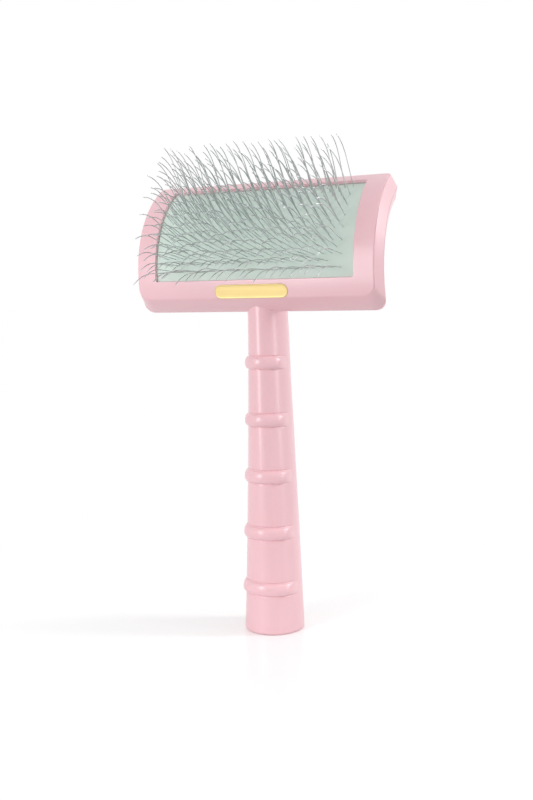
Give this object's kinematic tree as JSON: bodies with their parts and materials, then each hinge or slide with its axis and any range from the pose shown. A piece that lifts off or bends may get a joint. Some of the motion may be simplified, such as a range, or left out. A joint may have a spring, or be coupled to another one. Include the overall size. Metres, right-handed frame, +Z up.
{
  "type": "slicker brush",
  "caption": "Pet slicker brush: curved head with a sprung pad of long bent wire pins, on a tapered handle with finger ridges and a flat foot.",
  "frame": {"origin": "centre of the flat foot at the handle's end", "axes": "+Z up along the handle towards the head, -Y towards the pins, X along the head"},
  "size_m": [0.122, 0.0724, 0.2285],
  "materials": {
    "pink_shell": "satin moulded ABS",
    "pink_handle": "satin moulded ABS",
    "pad_rubber": "matt moulded rubber",
    "backing_cloth": "woven cotton",
    "foam": "open-cell foam",
    "plate_plastic": "moulded",
    "pin_steel": "drawn wire",
    "screw_steel": "zinc plated",
    "insert_brass": "turned",
    "gold_plate": "gold anodised",
    "adhesive_film": "clear film"
  },
  "bodies": {
    "brush": {"bezel": "pink_shell", "rear_cover": "pink_shell", "head_screws": "screw_steel", "neck_screws": "screw_steel", "threaded_inserts": "insert_brass", "support_plate": "plate_plastic", "foam_cushion": "foam", "name_plate_adhesive": "adhesive_film", "name_plate": "gold_plate", "handle_grip": "pink_handle", "end_cap": "pink_handle"},
    "pin_cushion": {"pin_pad": "pad_rubber", "pad_cloth": "backing_cloth", "pin_row_01": "pin_steel", "pin_row_02": "pin_steel", "pin_row_03": "pin_steel", "pin_row_04": "pin_steel", "pin_row_05": "pin_steel", "pin_row_06": "pin_steel", "pin_row_07": "pin_steel", "pin_row_08": "pin_steel", "pin_row_09": "pin_steel", "pin_row_10": "pin_steel", "pin_row_11": "pin_steel", "pin_row_12": "pin_steel", "pin_row_13": "pin_steel", "pin_row_14": "pin_steel", "pin_row_15": "pin_steel"}
  },
  "joints": [
    {"name": "cushion_press", "type": "slide", "parent": "brush", "child": "pin_cushion", "axis": [0, 0.9178, -0.3971], "range_m": [0, 0.0015], "stiffness_N_per_m": 4000, "springref_m": -0.0005, "deforming": ["foam_cushion"]}
  ]
}
